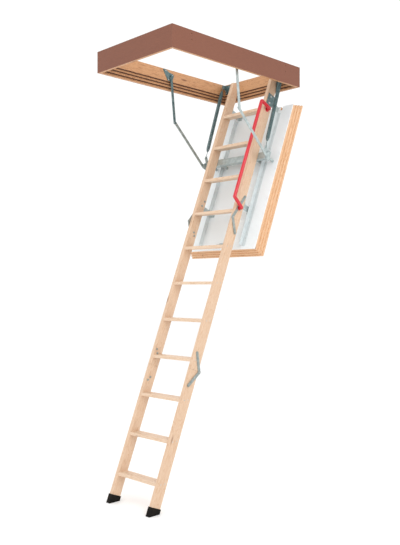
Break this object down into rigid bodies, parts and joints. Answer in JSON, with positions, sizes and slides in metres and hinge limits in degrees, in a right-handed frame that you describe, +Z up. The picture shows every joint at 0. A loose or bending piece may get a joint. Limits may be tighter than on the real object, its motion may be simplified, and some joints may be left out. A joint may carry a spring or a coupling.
{
  "type": "attic ladder",
  "caption": "Folding wooden attic ladder on an insulated drop-down ceiling hatch, with a fixed box frame, stays, springs and a handrail.",
  "frame": {"origin": "middle of the ceiling opening, level with the underside of the box", "axes": "+X towards the handrail side, +Y towards the hinged end of the hatch, +Z up"},
  "size_m": [0.734, 1.3376, 2.94],
  "materials": {
    "pine": "satin",
    "brown_facing": "matt",
    "seal": "matt",
    "foam": "matt",
    "white_board": "satin",
    "red_enamel": "gloss",
    "black_plastic": "matt",
    "dark_steel": "satin",
    "zinc_steel": "satin"
  },
  "bodies": {
    "box": {"box_side_left": "pine", "box_side_right": "pine", "box_end_front": "pine", "box_end_rear": "pine", "outer_facing": "brown_facing", "seal_lower": "seal", "seal_middle": "seal", "seal_upper": "seal", "hinge_brackets": "dark_steel", "stay_brackets": "dark_steel", "spring_anchors": "dark_steel", "latch_keeper": "zinc_steel", "box_screws": "zinc_steel"},
    "drop_arms": {"drop_arms": "dark_steel", "drop_arm_pins": "zinc_steel"},
    "hatch": {"hatch_skin": "pine", "hatch_battens": "pine", "hatch_core": "foam", "hatch_attic_panel": "white_board", "panel_rails": "zinc_steel", "latch_plate": "zinc_steel", "head_plates": "dark_steel", "consoles_upper": "zinc_steel", "consoles_lower": "zinc_steel", "console_screws": "zinc_steel", "cross_bar": "zinc_steel", "cross_bar_lugs": "zinc_steel", "stile_1_left": "pine", "stile_1_right": "pine", "tread_01": "pine", "tread_02": "pine", "tread_03": "pine", "tread_04": "pine", "handrail": "red_enamel", "fold_straps_1_upper": "zinc_steel", "fold_pins_1": "zinc_steel"},
    "ladder_section_2": {"stile_2_left": "pine", "stile_2_right": "pine", "tread_05": "pine", "tread_06": "pine", "tread_07": "pine", "tread_08": "pine", "fold_straps_1_lower": "zinc_steel", "fold_straps_2_upper": "zinc_steel", "fold_pins_2": "zinc_steel"},
    "ladder_section_3": {"stile_3_left": "pine", "stile_3_right": "pine", "tread_09": "pine", "tread_10": "pine", "tread_11": "pine", "fold_straps_2_lower": "zinc_steel", "feet": "black_plastic"},
    "stay_uppers": {"stay_upper_left": "zinc_steel", "stay_upper_right": "zinc_steel"},
    "stay_lowers": {"stay_lower_left": "zinc_steel", "stay_lower_right": "zinc_steel"},
    "springs": {"spring_left": "dark_steel", "spring_right": "dark_steel"},
    "latch_tongue": {"latch_tongue": "zinc_steel"}
  },
  "joints": [
    {"name": "arm_swing", "type": "hinge", "parent": "box", "child": "drop_arms", "pos_m": [0, 0.55165, 0.02482], "axis": [1, 0, 0], "range_deg": [-120.1, 0]},
    {"name": "hatch_tilt", "type": "hinge", "parent": "drop_arms", "child": "hatch", "pos_m": [0, 0.52877, -0.09699], "axis": [1, 0, 0], "range_deg": [0, 71.5]},
    {"name": "fold_1", "type": "hinge", "parent": "hatch", "child": "ladder_section_2", "pos_m": [0, 0.07982, -0.94412], "axis": [1, 0, 0], "range_deg": [-180, 0]},
    {"name": "fold_2", "type": "hinge", "parent": "ladder_section_2", "child": "ladder_section_3", "pos_m": [0, -0.2351, -1.96304], "axis": [1, 0, 0], "range_deg": [0, 180]},
    {"name": "stay_upper_swing", "type": "hinge", "parent": "box", "child": "stay_uppers", "pos_m": [0, 0, 0.095], "axis": [1, 0, 0], "range_deg": [-126.51, 0]},
    {"name": "stay_knee", "type": "hinge", "parent": "stay_uppers", "child": "stay_lowers", "pos_m": [0, 0.035, -0.235], "axis": [1, 0, 0], "range_deg": [0, 127.26]},
    {"name": "spring_swing", "type": "hinge", "parent": "box", "child": "springs", "pos_m": [0, 0.515, 0.115], "axis": [1, 0, 0], "range_deg": [-59.95, 0], "deforming": ["spring_left", "spring_right"]},
    {"name": "latch_turn", "type": "hinge", "parent": "hatch", "child": "latch_tongue", "pos_m": [0, 0.18743, -1.12394], "axis": [0, -0.9285, 0.3714], "range_deg": [0, 90]}
  ],
  "couplings": [
    {"joint": "arm_swing", "follows": "hatch_tilt", "ratio": -1.6783},
    {"joint": "fold_2", "follows": "fold_1", "ratio": -1},
    {"joint": "stay_upper_swing", "follows": "hatch_tilt", "ratio": -1.7683},
    {"joint": "stay_knee", "follows": "hatch_tilt", "ratio": 1.7789},
    {"joint": "spring_swing", "follows": "hatch_tilt", "ratio": -0.83797}
  ]
}
